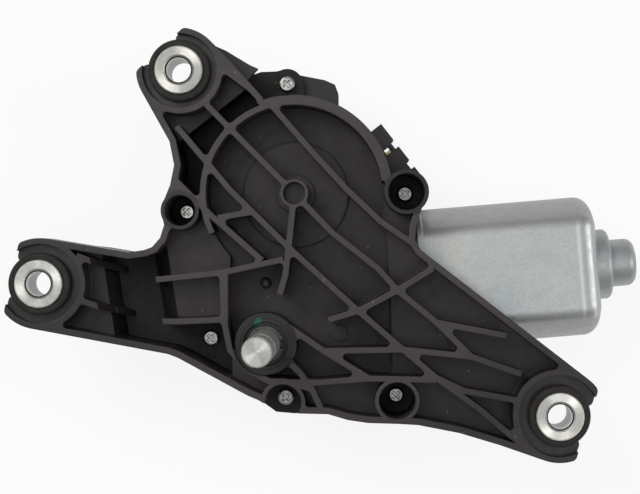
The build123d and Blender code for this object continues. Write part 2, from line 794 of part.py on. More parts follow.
def tooth_outline(teeth, thinning, first_angle, tip_height=1.0):
    # Involute teeth round a circle: each flank runs from the root over the pitch circle to the tip
    pitch_radius = teeth * tooth_module / 2
    base_radius = pitch_radius * cos(radians(pressure_angle))
    half_tooth = pi / (2 * teeth) - thinning / pitch_radius
    roll = tan(radians(pressure_angle)) - radians(pressure_angle)
    radii = [
        pitch_radius - tooth_root * tooth_module,
        pitch_radius - flank_step * tooth_module,
        pitch_radius,
        pitch_radius + tip_height * tooth_module,
    ]
    flank = []
    for radius in radii:
        steepness = acos(min(1.0, base_radius / max(radius, base_radius)))
        flank.append((radius, degrees(half_tooth + roll - tan(steepness) + steepness)))
    points = []
    for i in range(teeth):
        middle = first_angle + 360 / teeth * i
        points += [polar(radius, middle - half) for radius, half in flank]
        points += [polar(radius, middle + half) for radius, half in reversed(flank)]
    return points


# Output shaft: journal in two bushes, straight knurl for the wiper arm, flat end
shaft_bottom = -shaft_tail
ring_top = -boss_drop + ring_rise
knurl_outline = []
for i in range(knurl_teeth):
    knurl_outline.append(polar(shaft_radius, 360 / knurl_teeth * i))
    knurl_outline.append(polar(shaft_radius - knurl_depth, 360 / knurl_teeth * (i + 0.5)))
with BuildPart() as output_shaft:
    with BuildSketch(Plane.XY.offset(shaft_bottom)):
        Circle(shaft_radius)
    extrude(amount=knurl_start - shaft_bottom)
    chamfer(output_shaft.edges().sort_by(Axis.Z)[0], tail_chamfer)
    with BuildSketch(Plane.XY.offset(knurl_start)):
        Polygon(*knurl_outline, align=None)
    extrude(amount=knurl_end - knurl_start)
    with BuildSketch(Plane.XY.offset(knurl_end)):
        Circle(shaft_radius - knurl_depth)
    extrude(amount=shaft_tip - knurl_end)
    chamfer(output_shaft.faces().sort_by(Axis.Z)[-1].edges(), end_chamfer)
    with BuildSketch(Plane.XY.offset(ring_top)):
        Circle(shaft_radius)
        Circle(shaft_radius - ring_groove, mode=Mode.SUBTRACT)
    extrude(amount=-ring_slot, mode=Mode.SUBTRACT)
export(output_shaft, "output_shaft")

with BuildPart() as retaining_ring:
    with BuildSketch(Plane.XY.offset(ring_top - ring_slot)):
        Circle(shaft_radius + ring_lip)
        Circle(shaft_radius - ring_groove, mode=Mode.SUBTRACT)
        with Locations((shaft_radius, 0)):
            Rectangle(2 * shaft_radius, ring_mouth, mode=Mode.SUBTRACT)
    extrude(amount=ring_thickness)
export(retaining_ring, "retaining_ring")

with BuildPart() as output_pinion:
    with BuildSketch(Plane.XY.offset(link_bottom)):
        Polygon(*tooth_outline(pinion_teeth, gear_thinning, 180 / pinion_teeth), align=None)
        Circle(shaft_radius, mode=Mode.SUBTRACT)
    extrude(amount=link_thickness)
export(output_pinion, "output_pinion")

# Guide plate: keeps the toothed link's pivot at its distance from the output shaft
link_pivot = (guide_length, 0)
with BuildPart() as guide_plate:
    with BuildSketch(Plane.XY.offset(guide_bottom)):
        Circle(shaft_radius + eye_wall)
        with Locations(link_pivot):
            Circle(link_width / 2)
        with BuildLine():
            Line((0, 0), link_pivot)
        trace(line_width=link_width)
        Circle(shaft_radius + running_clearance, mode=Mode.SUBTRACT)
        with Locations(link_pivot):
            Circle(link_pin_radius, mode=Mode.SUBTRACT)
    extrude(amount=guide_thickness)
export(guide_plate, "guide_plate")

with BuildPart() as link_pin:
    with BuildSketch(Plane.XY.offset(guide_top)):
        with Locations(link_pivot):
            Circle(link_pin_radius)
    extrude(amount=link_bottom - link_gap - guide_top)
    with BuildSketch(Plane.XY.offset(link_bottom - link_gap)):
        with Locations(link_pivot):
            Circle(pin_head_radius)
    extrude(amount=-pin_head)
export(link_pin, "link_pin")

# Toothed link: a sector round its pivot meshes with the pinion, an eye lies over the crank pin
crank_point = Vector(*wheel_axis) + Vector(*polar(crank_radius, crank_angle))
eye_radius = crank_pin_radius + eye_wall
with BuildPart() as toothed_link:
    with BuildSketch(Plane.XY.offset(link_bottom)):
        with Locations(link_pivot):
            Polygon(*tooth_outline(sector_teeth, gear_thinning, 180), align=None)
            Polygon(
                (0, 0),
                polar(3 * sector_radius, sector_middle - sector_half_span),
                polar(4 * sector_radius, sector_middle),
                polar(3 * sector_radius, sector_middle + sector_half_span),
                align=None,
                mode=Mode.INTERSECT,
            )
            Circle(link_width / 2)
        with Locations(crank_point):
            Circle(eye_radius)
        with BuildLine():
            Line(link_pivot, crank_point)
        trace(line_width=link_width)
        with Locations(link_pivot):
            Circle(link_pin_radius + running_clearance, mode=Mode.SUBTRACT)
        with Locations(crank_point):
            Circle(crank_pin_radius + running_clearance, mode=Mode.SUBTRACT)
    extrude(amount=link_thickness)
export(toothed_link, "toothed_link")

# Armature shaft with the worm cut on it
rear_journal = can_start + can_length + boss_step_length
lead = pi * tooth_module
thread_flank = tan(radians(pressure_angle))
thread_base = worm_root_radius - flank_step
thread_foot = worm_pitch_radius - thread_base
with BuildPart() as armature_shaft:
    with BuildSketch(motor_plane(seat_start + thrust_plug_length)):
        Circle(motor_shaft_radius)
    extrude(amount=rear_journal - seat_start - thrust_plug_length)
    with BuildSketch(motor_plane(-worm_length / 2 - worm_shoulder)):
        Circle(worm_root_radius)
    extrude(amount=worm_length + 2 * worm_shoulder)
    with BuildLine() as worm_path:
        Helix(lead, worm_length, worm_pitch_radius, center=worm_foot - u * (worm_length / 2), direction=u)
    start = worm_path.line @ 0
    outwards = (start - (worm_foot - u * (worm_length / 2))).normalized()
    with BuildSketch(Plane(origin=start, x_dir=outwards, z_dir=outwards.cross(u))) as thread_profile:
        with BuildLine():
            half_tooth = lead / 4 - mesh_backlash / 2
            Polyline(
                (tooth_module, half_tooth - thread_flank * tooth_module),
                (tooth_module, -half_tooth + thread_flank * tooth_module),
                (-thread_foot, -half_tooth - thread_flank * thread_foot),
                (-thread_foot, half_tooth + thread_flank * thread_foot),
                close=True,
            )
        make_face()
    sweep(path=worm_path.line, is_frenet=True)
export(armature_shaft, "armature_shaft")

# Worm wheel: helical teeth, with a tooth gap where the worm's thread faces the wheel's axis
thread_turn = atan2(outwards.Z, outwards.dot(n)) / (2 * pi)
crest = -worm_length / 2 - thread_turn * lead
crest -= lead * floor(crest / lead + 0.5)
mesh_angle = motor_tilt - 90 + degrees(crest / wheel_pitch_radius)
first_tooth = mesh_angle + 180 / wheel_teeth
half_twist = degrees(wheel_face / 2 * lead / (2 * pi * worm_pitch_radius) / wheel_pitch_radius)
web_bottom = axis_level - wheel_web / 2
web_recess = (wheel_face - wheel_web) / 2
rim_inside = wheel_pitch_radius - tooth_root * tooth_module - wheel_rim_wall
wheel_bottom_plane = Plane(origin=(*wheel_axis, wheel_bottom))
wheel_top_plane = Plane(origin=(*wheel_axis, wheel_top))
with BuildPart() as worm_wheel:
    for plane, turn in ((wheel_bottom_plane, -half_twist), (wheel_top_plane, half_twist)):
        with BuildSketch(plane):
            Polygon(*tooth_outline(wheel_teeth, mesh_backlash / 2, first_tooth + turn, wheel_tip), align=None)
    loft(ruled=True)
    for plane, depth in ((wheel_bottom_plane, web_recess), (wheel_top_plane, -web_recess)):
        with BuildSketch(plane):
            Circle(rim_inside)
            Circle(wheel_hub_radius, mode=Mode.SUBTRACT)
        extrude(amount=depth, mode=Mode.SUBTRACT)
    with BuildSketch(wheel_bottom_plane):
        Circle(axle_radius + running_clearance)
        with Locations(polar(crank_radius, crank_angle)):
            Circle(crank_pin_radius)
    extrude(amount=wheel_face, mode=Mode.SUBTRACT)
export(worm_wheel, "worm_wheel")

with BuildPart() as crank_pin:
    with BuildSketch(wheel_bottom_plane):
        with Locations(polar(crank_radius, crank_angle)):
            Circle(crank_pin_radius)
    extrude(amount=link_bottom - link_gap - wheel_bottom)
export(crank_pin, "crank_pin")

axle_bottom = can_back + foot_width
with BuildPart() as wheel_axle:
    with BuildSketch(Plane(origin=(*wheel_axis, axle_bottom))):
        Circle(axle_radius)
    extrude(amount=wheel_top + link_gap - axle_bottom)
export(wheel_axle, "wheel_axle")

# Park switch: a contact ring under the wheel's web and two spring fingers on the case floor
with BuildPart() as contact_disc:
    with BuildSketch(Plane(origin=(*wheel_axis, web_bottom))):
        Circle(contact_outside)
        Circle(contact_inside, mode=Mode.SUBTRACT)
    extrude(amount=-contact_thickness)
export(contact_disc, "contact_disc")

finger_low = contact_thickness / 2
finger_high = web_bottom - contact_thickness - link_gap - chamber_floor - contact_thickness / 2
finger_path = [(28.0, finger_low), (23.0, finger_low), (18.0, finger_high), (15.0, finger_high)]
with BuildPart() as park_fingers:
    for across in (-finger_spread, finger_spread):
        finger_origin = (wheel_axis[0] + across - finger_width / 2, wheel_axis[1], chamber_floor)
        with BuildSketch(Plane(origin=finger_origin, x_dir=(0, 1, 0), z_dir=(1, 0, 0))):
            with BuildLine():
                FilletPolyline(*finger_path, radius=finger_bend)
            trace(line_width=contact_thickness)
        extrude(amount=finger_width)
export(park_fingers, "park_fingers")

# Armature: slotted core, end windings and commutator on the shaft
brush_plate_start = can_start + spigot_length
commutator_start = brush_plate_start + armature_gap
core_start = commutator_start + commutator_length + armature_gap + winding_length
with BuildPart() as armature_core:
    with BuildSketch(motor_plane(core_start)):
        Circle(armature_radius)
        Circle(motor_shaft_radius, mode=Mode.SUBTRACT)
        with PolarLocations(armature_radius - slot_depth / 2, core_slots):
            Rectangle(slot_depth, slot_width, mode=Mode.SUBTRACT)
    extrude(amount=core_length)
export(armature_core, "armature_core")

with BuildPart() as armature_windings:
    for start_at in (core_start - winding_length, core_start + core_length):
        with BuildSketch(motor_plane(start_at)):
            Circle(armature_radius - winding_inset)
            Circle(motor_shaft_radius + winding_hub, mode=Mode.SUBTRACT)
        extrude(amount=winding_length)
    fillet(armature_windings.edges().filter_by(GeomType.CIRCLE), winding_length / 4)
    with BuildSketch(motor_plane(core_start)):
        with PolarLocations(armature_radius - slot_depth / 2, core_slots):
            Rectangle(slot_depth - winding_inset, slot_width - 2 * slot_play)
    extrude(amount=core_length)
export(armature_windings, "armature_windings")

with BuildPart() as commutator:
    with BuildSketch(motor_plane(commutator_start)):
        Circle(commutator_radius)
        Circle(motor_shaft_radius, mode=Mode.SUBTRACT)
        with PolarLocations(commutator_radius, core_slots):
            Rectangle(4 * commutator_gap, commutator_gap, mode=Mode.SUBTRACT)
    extrude(amount=commutator_length)
export(commutator, "commutator")

# Motor can: deep-drawn shell with flats, bearing boss and domed nose
can_end = can_start + can_length
with BuildPart() as motor_can:
    with BuildSketch(motor_plane(can_start)):
        add(can_outline)
    extrude(amount=can_length)
    fillet(motor_can.faces().sort_by(motor_axis)[-1].edges(), can_corner)
    with BuildSketch(motor_plane(can_end)):
        Circle(boss_step_radius)
    extrude(amount=boss_step_length)
    fillet(motor_can.faces().sort_by(motor_axis)[-1].edges(), can_wall)
    with BuildSketch(motor_plane(can_end + boss_step_length)):
        Circle(nose_radius)
    extrude(amount=nose_length)
    fillet(motor_can.faces().sort_by(motor_axis)[-1].edges(), nose_round)
    with BuildSketch(motor_plane(can_start)):
        add(lip_outline)
    extrude(amount=lip_length)
    with BuildSketch(motor_plane(can_start)):
        add(can_inside)
    extrude(amount=can_length - can_wall, mode=Mode.SUBTRACT)
    with BuildSketch(motor_plane(can_end - can_wall)):
        Circle(nose_radius - can_wall)
    extrude(amount=boss_step_length + nose_length, mode=Mode.SUBTRACT)
export(motor_can, "motor_can")

with BuildPart() as magnets:
    with BuildSketch(motor_plane(core_start - (magnet_length - core_length) / 2)):
        Circle(magnet_outside)
        Circle(armature_radius + air_gap, mode=Mode.SUBTRACT)
        Rectangle(2 * magnet_outside, 2 * magnet_half_height, mode=Mode.INTERSECT)
    extrude(amount=magnet_length)
export(magnets, "magnets")


def bearing(name, start_at, length, outside):
    # Plain sintered bush on the motor shaft
    with BuildPart() as bush:
        with BuildSketch(motor_plane(start_at)):
            Circle(outside)
            Circle(motor_shaft_radius + running_clearance, mode=Mode.SUBTRACT)
        extrude(amount=length)
    export(bush, name)


bearing("can_bearing", can_end - can_wall, boss_step_length, nose_radius - can_wall)
bearing("worm_bearing", neck_start, can_start - neck_start, motor_bush_radius)
end_bearing_start = seat_start + thrust_plug_length
bearing("end_bearing", end_bearing_start, seat_end - end_bearing_start, motor_bush_radius)

with BuildPart() as thrust_plug:
    with BuildSketch(motor_plane(seat_start)):
        Circle(motor_bush_radius)
    extrude(amount=thrust_plug_length - link_gap)
export(thrust_plug, "thrust_plug")

# Brush gear inside the mouth of the can: a plate with two holders, two brushes and their springs
holder_start = commutator_radius + armature_gap
brush_end = commutator_radius + brush_gap + brush_length
holder_end = magnet_outside - holder_gap
spring_length = holder_end - holder_wall - brush_end
holder_plane = motor_plane(brush_plate_start + brush_plate_thickness)
slot_width_across = brush_width + 2 * brush_play
with BuildPart() as brush_plate:
    with BuildSketch(motor_plane(brush_plate_start)):
        add(spigot_outside)
    extrude(amount=brush_plate_thickness)
    with BuildSketch(holder_plane):
        Rectangle(2 * holder_end, slot_width_across + 2 * holder_wall)
    extrude(amount=brush_height + 2 * brush_play + holder_wall)
    with BuildSketch(holder_plane):
        Rectangle(2 * (holder_end - holder_wall), slot_width_across)
    extrude(amount=brush_height + 2 * brush_play, mode=Mode.SUBTRACT)
    with BuildSketch(motor_plane(brush_plate_start)):
        Circle(holder_start)
    extrude(amount=commutator_length + winding_length, mode=Mode.SUBTRACT)
export(brush_plate, "brush_plate")

with BuildPart() as brushes:
    with BuildSketch(holder_plane.offset(brush_play)):
        Rectangle(2 * brush_end, brush_width)
        Circle(commutator_radius + brush_gap, mode=Mode.SUBTRACT)
    extrude(amount=brush_height)
export(brushes, "brushes")

spring_radius = brush_width / 2 - spring_wall
with BuildPart() as brush_springs:
    for side in (-1, 1):
        spring_origin = holder_plane.offset(brush_height / 2).from_local_coords(Vector(side * brush_end, 0, 0))
        with BuildSketch(Plane(origin=spring_origin, z_dir=n * side)):
            Circle(spring_radius)
            Circle(spring_radius - spring_wall, mode=Mode.SUBTRACT)
        extrude(amount=spring_length)
export(brush_springs, "brush_springs")

# Connector housing behind the case with an outward socket, and its blades
connector_height = case_bottom - can_back
socket_plane = Plane(
    origin=connector_plane.origin - Vector(0, 0, connector_height / 2),
    x_dir=connector_plane.x_dir,
    z_dir=connector_plane.y_dir,
)
with BuildPart() as connector_housing:
    with BuildSketch(connector_plane):
        with Locations((0, -connector_depth / 2)):
            Rectangle(connector_length, connector_depth)
    extrude(amount=-connector_height)
    with BuildSketch(socket_plane):
        Rectangle(connector_length - 2 * connector_wall, connector_height - 2 * connector_wall)
    extrude(amount=-connector_socket, mode=Mode.SUBTRACT)
    with BuildSketch(connector_plane):
        with Locations(latch_window_place):
            Rectangle(latch_window, latch_window)
        with Locations(*[(place, 0) for place in notch_places]):
            Rectangle(rim_notch, rim_notch)
    extrude(amount=-connector_height, mode=Mode.SUBTRACT)
    with BuildSketch(socket_plane):
        with Locations((0, blade_drop)):
            with GridLocations(blade_pitch, 0, blade_count, 1):
                Rectangle(blade_width, blade_thickness)
    extrude(amount=-connector_depth, mode=Mode.SUBTRACT)
export(connector_housing, "connector_housing")

with BuildPart() as terminals:
    with BuildSketch(socket_plane.offset(-blade_recess)):
        with Locations((0, blade_drop)):
            with GridLocations(blade_pitch, 0, blade_count, 1):
                Rectangle(blade_width, blade_thickness)
    extrude(amount=-blade_length)
export(terminals, "terminals")
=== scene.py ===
import bpy
import math
import numpy as np
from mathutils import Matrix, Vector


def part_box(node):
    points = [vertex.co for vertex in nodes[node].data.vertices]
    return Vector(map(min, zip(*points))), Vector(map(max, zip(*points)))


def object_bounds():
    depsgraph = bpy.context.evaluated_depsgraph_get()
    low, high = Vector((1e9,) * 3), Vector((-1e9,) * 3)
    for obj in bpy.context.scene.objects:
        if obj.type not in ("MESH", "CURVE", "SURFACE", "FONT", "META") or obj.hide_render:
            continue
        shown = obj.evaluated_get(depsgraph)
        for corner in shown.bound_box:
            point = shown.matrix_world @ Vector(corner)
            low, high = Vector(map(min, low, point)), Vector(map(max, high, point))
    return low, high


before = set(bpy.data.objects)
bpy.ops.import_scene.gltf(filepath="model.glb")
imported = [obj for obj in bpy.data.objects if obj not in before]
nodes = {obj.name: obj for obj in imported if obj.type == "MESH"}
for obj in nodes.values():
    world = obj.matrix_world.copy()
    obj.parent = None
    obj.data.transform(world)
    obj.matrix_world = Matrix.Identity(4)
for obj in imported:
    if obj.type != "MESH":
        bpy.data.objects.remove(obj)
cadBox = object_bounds()
print("stage: frame loaded with", len(nodes), "nodes")

scene = bpy.context.scene
scene.view_settings.view_transform = "Standard"
mm = 0.001  # sizes and places below are in millimetres, except those of the lights


def inMetres(sizes):
    return [size * mm for size in sizes]


def axisOf(node):  # the upright axis of a round piece, in metres, from its box in the frame
    low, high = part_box(node)
    return (low[0] + high[0]) / 2, (low[1] + high[1]) / 2


# Camera: straight above the shaft side, at the place the photograph's perspective gives
photo = {
    "width": 640, "height": 494, "focal": 1436.0, "centre": (365.0, 250.0),  # pixels
    "eye": (33.95, 32.1, 485.0), "nearest": 20.0, "sensor": 36.0,
}
cameraData = bpy.data.cameras.new("photoCamera")
cameraData.sensor_fit = "HORIZONTAL"
cameraData.sensor_width = photo["sensor"]
cameraData.lens = photo["sensor"] * photo["focal"] / photo["width"]
cameraData.shift_x = (photo["width"] / 2 - photo["centre"][0]) / photo["width"]
cameraData.shift_y = (photo["centre"][1] - photo["height"] / 2) / photo["width"]
cameraData.clip_start = photo["nearest"] * mm
camera = bpy.data.objects.new("photoCamera", cameraData)
camera.location = inMetres(photo["eye"])
scene.collection.objects.link(camera)
scene.camera = camera
print("stage: camera")


def addNode(tree, kind, inputs=None, **settings):
    made = tree.nodes.new(kind)
    for key, value in settings.items():
        setattr(made, key, value)
    for key, value in (inputs or {}).items():
        if isinstance(value, bpy.types.NodeSocket):
            tree.links.new(value, made.inputs[key])
        else:
            made.inputs[key].default_value = value
    return made


def addMath(tree, operation, *values):
    return addNode(tree, "ShaderNodeMath", dict(enumerate(values)), operation=operation).outputs["Value"]


def addVector(tree, operation, *values):
    return addNode(tree, "ShaderNodeVectorMath", dict(enumerate(values)), operation=operation).outputs


def addRange(tree, source, to, span=(0.0, 1.0)):  # clamped straight line, from the span to the new range
    return addNode(tree, "ShaderNodeMapRange", {
        "Value": source, "From Min": span[0], "From Max": span[1], "To Min": to[0], "To Max": to[1],
    }).outputs["Result"]


def addRamp(tree, source, span, first, second):
    ramp = addNode(tree, "ShaderNodeValToRGB", {"Fac": source})
    for element, place, colour in zip(ramp.color_ramp.elements, span, (first, second)):
        element.position = place
        element.color = (*colour, 1.0)
    return ramp.outputs["Color"]


def objectPlace(tree):
    return addNode(tree, "ShaderNodeTexCoord").outputs["Object"]


def newGroup(name, inputs, outputs):
    group = bpy.data.node_groups.new(name, "ShaderNodeTree")
    for label, value in inputs.items():
        socket = group.interface.new_socket(label, in_out="INPUT", socket_type="NodeSocketFloat")
        socket.default_value = value
    for label, kind in outputs.items():
        group.interface.new_socket(label, in_out="OUTPUT", socket_type=kind)
    return group, group.nodes.new("NodeGroupInput"), group.nodes.new("NodeGroupOutput")


# Soft edges: the normal of a small edge radius, and a mask that is 1 along sharp edges
edges = {"radius": 0.4, "samples": 6, "bentSpan": (0.75, 0.99)}  # the span is in cosines, bent to flat
softEdges, softIn, softOut = newGroup(
    "softEdges", {"Radius": edges["radius"] * mm}, {"Normal": "NodeSocketVector", "Edge": "NodeSocketFloat"}
)
bevel = addNode(softEdges, "ShaderNodeBevel", {"Radius": softIn.outputs["Radius"]}, samples=edges["samples"])
flat = addNode(softEdges, "ShaderNodeNewGeometry")
agree = addVector(softEdges, "DOT_PRODUCT", bevel.outputs["Normal"], flat.outputs["Normal"])["Value"]
softEdges.links.new(bevel.outputs["Normal"], softOut.inputs["Normal"])
softEdges.links.new(addRange(softEdges, agree, (1.0, 0.0), edges["bentSpan"]), softOut.inputs["Edge"])

# Grain: a broad mottle, a middle one and a fine one, all in object space
grainDetail = {"Broad": 3.0, "Middle": 4.0, "Fine": 2.0}
grainRoughness = 0.6
noiseSpan = (0.3, 0.7)  # where most of a noise's values lie
grain, grainIn, grainOut = newGroup(
    "grain", {"Broad": 60.0, "Middle": 400.0, "Fine": 2500.0}, dict.fromkeys(grainDetail, "NodeSocketFloat")
)
grainPlace = objectPlace(grain)
for label, detail in grainDetail.items():
    noise = addNode(grain, "ShaderNodeTexNoise", {
        "Vector": grainPlace, "Scale": grainIn.outputs[label], "Detail": detail, "Roughness": grainRoughness,
    })
    grain.links.new(noise.outputs["Fac"], grainOut.inputs[label])

# Rings: the distance from an upright axis, and 0 to 1 tool marks that change with it
toolMarks = {"pitch": 0.4, "detail": 2.0}
rings, ringsIn, ringsOut = newGroup(
    "rings", {"X": 0.0, "Y": 0.0, "Pitch": toolMarks["pitch"] * mm},
    {"Mark": "NodeSocketFloat", "Radius": "NodeSocketFloat"},
)
ringAxis = addNode(rings, "ShaderNodeCombineXYZ", {"X": ringsIn.outputs["X"], "Y": ringsIn.outputs["Y"]})
ringAway = addVector(rings, "SUBTRACT", objectPlace(rings), ringAxis.outputs["Vector"])["Vector"]
ringFlat = addVector(rings, "MULTIPLY", ringAway, (1.0, 1.0, 0.0))["Vector"]
ringRadius = addVector(rings, "LENGTH", ringFlat)["Value"]
ringTurn = addMath(rings, "DIVIDE", ringRadius, ringsIn.outputs["Pitch"])
ringNoise = addNode(rings, "ShaderNodeTexNoise", {"W": ringTurn, "Scale": 1.0, "Detail": toolMarks["detail"]},
                    noise_dimensions="1D")
rings.links.new(ringNoise.outputs["Fac"], ringsOut.inputs["Mark"])
rings.links.new(ringRadius, ringsOut.inputs["Radius"])

# Flecks: sparse small spots and short scratches that handling leaves on plastic
fleckKinds = {
    "Spots": {"draw": "Red", "rarity": 0.75, "size": 0.12, "turn": 0.0, "stretch": (1.0, 1.0, 1.0)},
    "Scratches": {"draw": "Green", "rarity": 0.7, "size": 0.07, "turn": 0.9, "stretch": (1.0, 0.1, 1.0)},
}
flecks, flecksIn, flecksOut = newGroup(
    "flecks", {"Spots": 400.0, "Scratches": 300.0}, {"Mask": "NodeSocketFloat"}
)
fleckPlace = objectPlace(flecks)
fleckMasks = []
for label, kind in fleckKinds.items():
    turned = addNode(flecks, "ShaderNodeMapping", {
        "Vector": fleckPlace, "Rotation": (0.0, 0.0, kind["turn"]), "Scale": kind["stretch"],
    })
    cells = addNode(flecks, "ShaderNodeTexVoronoi", {
        "Vector": turned.outputs["Vector"], "Scale": flecksIn.outputs[label],
    })
    draws = addNode(flecks, "ShaderNodeSeparateColor", {"Color": cells.outputs["Color"]})
    fleckSize = addRange(flecks, draws.outputs[kind["draw"]], (0.0, kind["size"]), (kind["rarity"], 1.0))
    fleckMasks.append(addMath(flecks, "LESS_THAN", cells.outputs["Distance"], fleckSize))
flecks.links.new(addMath(flecks, "MAXIMUM", *fleckMasks), flecksOut.inputs["Mask"])

# Height: 0 at the low level to 1 at the high one, along Z
height, heightIn, heightOut = newGroup(
    "height", {"Low": -24.0 * mm, "High": -2.0 * mm}, {"Share": "NodeSocketFloat"}
)
heightPlace = addNode(height, "ShaderNodeSeparateXYZ", {"Vector": objectPlace(height)})
heightSpan = (heightIn.outputs["Low"], heightIn.outputs["High"])
heightShare = addRange(height, heightPlace.outputs["Z"], (0.0, 1.0), heightSpan)
height.links.new(heightShare, heightOut.inputs["Share"])

# Paint: the mask of a dab of marking paint with a ragged edge, across the seal and the boss beside it
paint = {
    "at": (-2.57, 7.53, -5.0), "size": 1.2, "ragged": 2.2, "edge": 0.4, "noise": 900.0, "detail": 3.0,
    "colour": (0.0, 0.085, 0.078),
}
paintDab, _, paintOut = newGroup("paintDab", {}, {"Mask": "NodeSocketFloat"})
paintPlace = objectPlace(paintDab)
paintAway = addVector(paintDab, "DISTANCE", paintPlace, inMetres(paint["at"]))["Value"]
paintNoise = addNode(paintDab, "ShaderNodeTexNoise", {
    "Vector": paintPlace, "Scale": paint["noise"], "Detail": paint["detail"],
})
paintRagged = addMath(paintDab, "MULTIPLY", paintNoise.outputs["Fac"], paint["ragged"] * mm)
paintReach = addMath(paintDab, "ADD", paintAway, paintRagged)
paintFull = paint["size"] + paint["ragged"] / 2
paintSpan = inMetres((paintFull, paintFull + paint["edge"]))
paintDab.links.new(addRange(paintDab, paintReach, (1.0, 0.0), paintSpan), paintOut.inputs["Mask"])
print("stage: shared effects")


def newMaterial(name, uniform):
    material = bpy.data.materials.new(name)
    material.use_nodes = True
    tree = material.node_tree
    shader = tree.nodes["Principled BSDF"]
    for label, value in uniform.items():
        shader.inputs[label].default_value = value
    return material, tree, shader


def connect(tree, shader, sources):
    for label, source in sources.items():
        tree.links.new(source, shader.inputs[label])


def useGroup(tree, group, **values):
    made = addNode(tree, "ShaderNodeGroup", node_tree=group)
    for label, value in values.items():
        made.inputs[label].default_value = value
    return made.outputs


def addSurface(tree, look):  # the noises and the soft edges of a finish
    broad, middle, fine = look["grain"]
    noise = useGroup(tree, grain, Broad=broad, Middle=middle, Fine=fine)
    return noise, useGroup(tree, softEdges, Radius=look["edgeRadius"] * mm)


def addBump(tree, source, bump, normal):
    strength, distance = bump
    inputs = {"Height": source, "Strength": strength, "Distance": distance * mm, "Normal": normal}
    return addNode(tree, "ShaderNodeBump", inputs).outputs["Normal"]


def mixColour(tree, mask, first, second):
    mix = addNode(tree, "ShaderNodeMix", data_type="RGBA")
    tree.links.new(mask, mix.inputs[0])
    for socket, value in ((mix.inputs[6], first), (mix.inputs[7], second)):
        if isinstance(value, bpy.types.NodeSocket):
            tree.links.new(value, socket)
        else:
            socket.default_value = (*value, 1.0)
    return mix.outputs[2]


def levelShare(tree, levels):
    low, high = inMetres(levels)
    return useGroup(tree, height, Low=low, High=high)["Share"]


def paintedLightSpot(tree, tone, spot):  # painted shade, and a painted highlight where the spot's tone is lighter: its share of the spot's tone out to the reach, fading to none
    x, y = inMetres(spot["at"])
    away = useGroup(tree, rings, X=x, Y=y)["Radius"]
    span = inMetres((spot["reach"], spot["reach"] + spot["fade"]))
    return mixColour(tree, addRange(tree, away, (spot["share"], 0.0), span), tone, spot["tone"])


dressed = []


def dress(material, pieces):
    for piece in pieces:
        slots = nodes[piece].data.materials
        slots.clear()
        slots.append(material)
    dressed.extend(pieces)


# Moulded plastic: what the bracket and the plain mouldings share, bumps as strength and height
moulded = {
    "grain": (45.0, 350.0, 3200.0), "edgeRadius": 0.45, "edgeShare": 0.6,
    "fineBump": (0.18, 0.05), "broadBump": (0.12, 0.6), "specular": 0.4,
}


def mouldedNormal(tree, noise, soft):
    fine = addBump(tree, noise["Fine"], moulded["fineBump"], soft["Normal"])
    return addBump(tree, noise["Broad"], moulded["broadBump"], fine)


# Bracket plastic: hazy and rubbed on the rib tops, with painted shade that darkens it deep in the pockets and
# on the arms
paintedShadeBlack = (0.006, 0.0049, 0.0052)
bracket = {
    # levels: the span over which painted shade darkens the plastic towards the deep
    "shallow": (0.04, 0.031, 0.033), "levels": (-23.0, -9.0), "cloud": (0.75, 1.0), "cloudSpan": (0.35, 0.65),
    "rubbed": (0.042, 0.034, 0.036), "rubbedLevels": (-4.0, -2.4),
    # the last value on the next line is the share of painted shade on the arms
    "middle": (22.0, 36.0, -2.0), "armSpan": (58.0, 80.0), "armPaintedShade": 0.5,
    # the first three values on the next line place lines of painted shadow at the plate's steps
    "stepShadowRadii": (18.3, 6.6), "stepShadowHalf": (0.3, 0.6), "stepShadowLevels": (-15.1, -14.4),
    "edge": (0.075, 0.067, 0.068), "fleck": (0.2, 0.19, 0.18), "fleckShare": 0.75,
    "rough": (0.62, 0.36), "mottle": (-0.05, 0.05), "specular": 0.32,
}
# places toned as painted shade, and the dome as a painted highlight, as the photograph shows them
# painted shade over the low right pockets
lowRightPaintedShade = {"at": (52.0, -2.0), "reach": 12.0, "fade": 24.0, "share": 0.7, "tone": paintedShadeBlack}
# painted shade over the shaft boss and the screw wells, and a painted highlight on the dome
paintedShadeAndHighlightSpots = {
    "shaftBoss": {"at": (0.0, 0.0), "reach": 10.9, "fade": 0.5, "share": 0.75, "tone": paintedShadeBlack},
    "leftWell": {"at": (-28.9, 45.5), "reach": 6.7, "fade": 0.5, "share": 0.75, "tone": paintedShadeBlack},
    "rightWell": {"at": (48.2, 51.6), "reach": 7.8, "fade": 0.5, "share": 0.75, "tone": paintedShadeBlack},
    "dome": {"at": (-0.6, 20.6), "reach": 0.0, "fade": 2.1, "share": 1.0, "tone": (0.07, 0.062, 0.064)},
}


